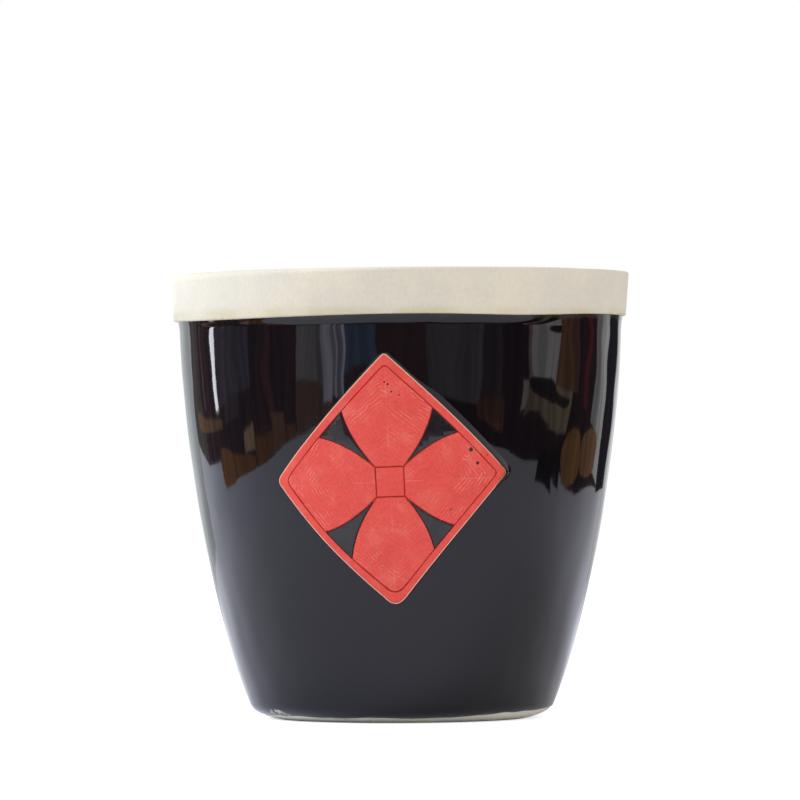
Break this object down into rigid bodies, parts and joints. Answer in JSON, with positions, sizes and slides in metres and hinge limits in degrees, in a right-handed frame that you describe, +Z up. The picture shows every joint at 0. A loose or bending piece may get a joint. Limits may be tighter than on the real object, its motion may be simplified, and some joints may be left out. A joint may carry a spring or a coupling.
{
  "type": "condiment jar",
  "caption": "Small open stoneware jar for salt, sugar or sauce, black glazed, with a bare clay rim and a raised red diamond emblem.",
  "frame": {"origin": "middle of the jar's base, on the surface that it stands on", "axes": "+Z up along the jar's turning axis; the emblem faces -Y; +X is to the right of the emblem"},
  "size_m": [0.1172, 0.1172, 0.114],
  "materials": {
    "bare_clay": "matte",
    "black_glaze": "gloss",
    "lining_glaze": "gloss",
    "red_enamel": "matte"
  },
  "bodies": {
    "root": {"clay_body": "bare_clay", "rim_band": "bare_clay", "foot_ring": "bare_clay", "black_glaze_coat": "black_glaze", "glaze_lining": "lining_glaze", "emblem_pad": "bare_clay", "emblem_border": "red_enamel", "leaf_top": "red_enamel", "leaf_right": "red_enamel", "leaf_bottom": "red_enamel", "leaf_left": "red_enamel", "inlay_upper_right": "black_glaze", "inlay_lower_right": "black_glaze", "inlay_lower_left": "black_glaze", "inlay_upper_left": "black_glaze", "centre_square": "red_enamel"}
  },
  "joints": []
}
